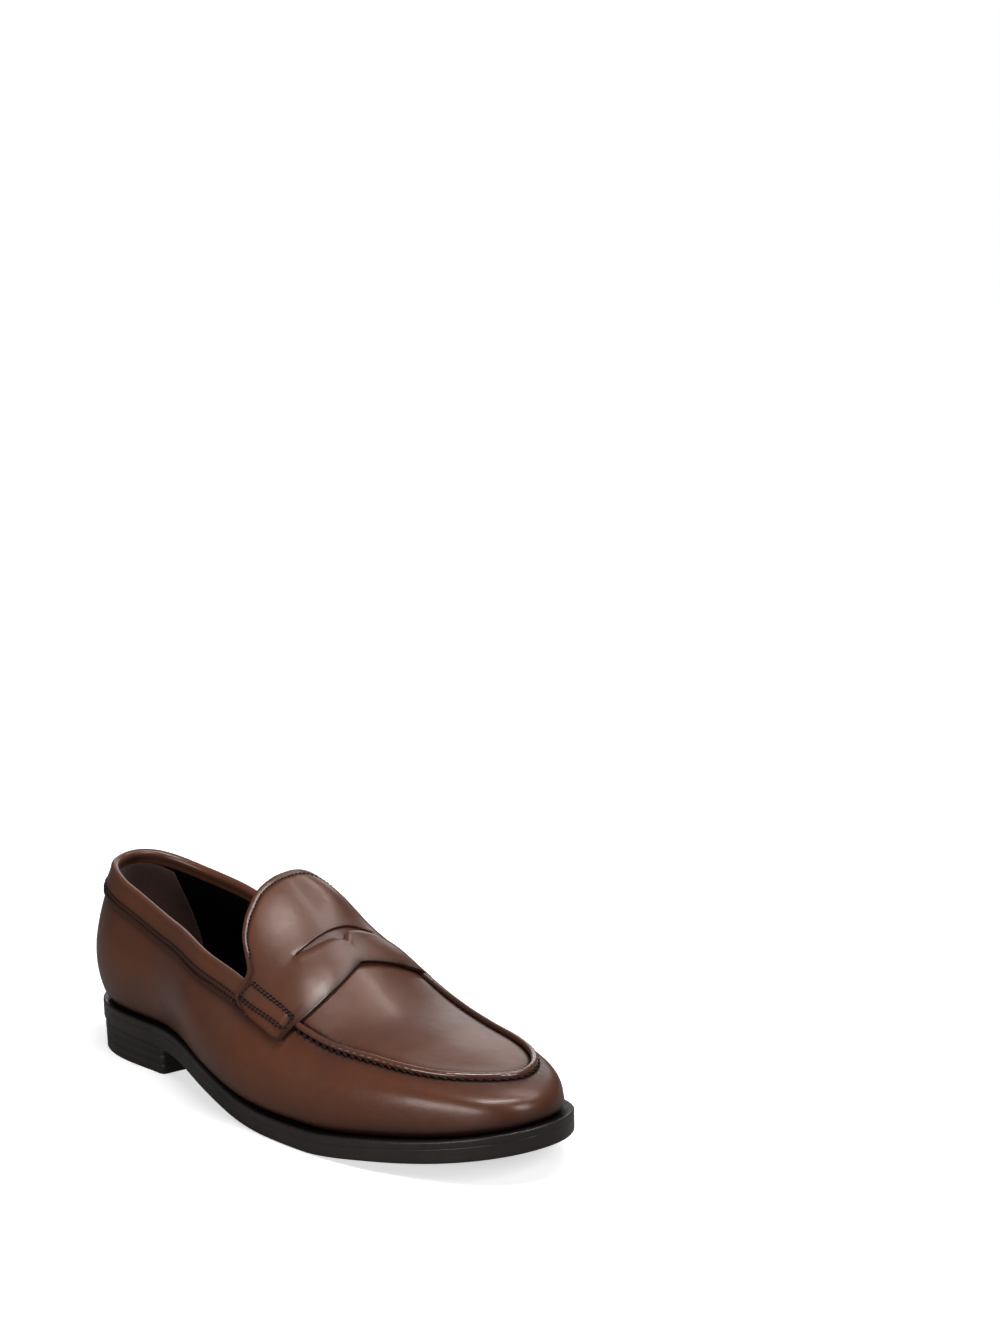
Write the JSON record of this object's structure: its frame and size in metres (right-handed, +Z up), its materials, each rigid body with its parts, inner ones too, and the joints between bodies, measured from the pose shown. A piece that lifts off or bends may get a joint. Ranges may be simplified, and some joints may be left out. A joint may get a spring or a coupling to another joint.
{
  "type": "penny loafer",
  "caption": "Right slip-on leather shoe with a rolled apron seam, a saddle strap with a cut-out slot, an almond toe and a low stacked heel.",
  "frame": {"origin": "on the ground, in the middle of the shoe's box in X and Y", "axes": "+X from the heel to the toe, +Y towards the inner side of the foot, +Z up"},
  "size_m": [0.3026, 0.1104, 0.1049],
  "materials": {
    "calf": "satin, mid brown, polished",
    "calf_edge": "satin, cut edge and flesh side, brown",
    "thread": "waxed linen thread, dark brown",
    "suede": "brushed, matte, brown",
    "black_lining": "matte lining leather, black",
    "sole_rubber": "satin, near black brown",
    "heel_stack": "satin, near black brown",
    "board": "raw cellulose fibre board",
    "cork": "raw ground cork",
    "foam": "open-cell latex foam",
    "stiffener": "stiffened non-woven fabric",
    "steel": "bare steel"
  },
  "bodies": {
    "root": {"vamp_wall": "calf", "apron": "calf", "apron_lining": "black_lining", "apron_seam_roll": "calf", "apron_seam_thread": "thread", "saddle_mask": "calf", "tongue_lining": "calf_edge", "slot_backing": "calf", "strap_stitching_lateral": "thread", "strap_stitching_medial": "thread", "collar_band": "calf", "collar_facing": "calf", "back_seam_thread": "thread", "heel_grip_lining": "suede", "quarter_lining_lateral": "black_lining", "quarter_lining_medial": "black_lining", "vamp_lining": "black_lining", "heel_counter": "stiffener", "toe_puff": "stiffener", "welt": "sole_rubber", "outsole": "sole_rubber", "cork_filler": "cork", "insole_board": "board", "sock_liner": "black_lining", "heel_pad": "foam", "shank": "steel", "heel_lift_upper": "heel_stack", "heel_lift_lower": "heel_stack", "heel_top_piece_rear": "sole_rubber", "heel_top_piece_front": "sole_rubber", "heel_nail_1": "steel", "heel_nail_2": "steel", "heel_nail_3": "steel", "heel_nail_4": "steel", "heel_nail_5": "steel"}
  },
  "joints": []
}
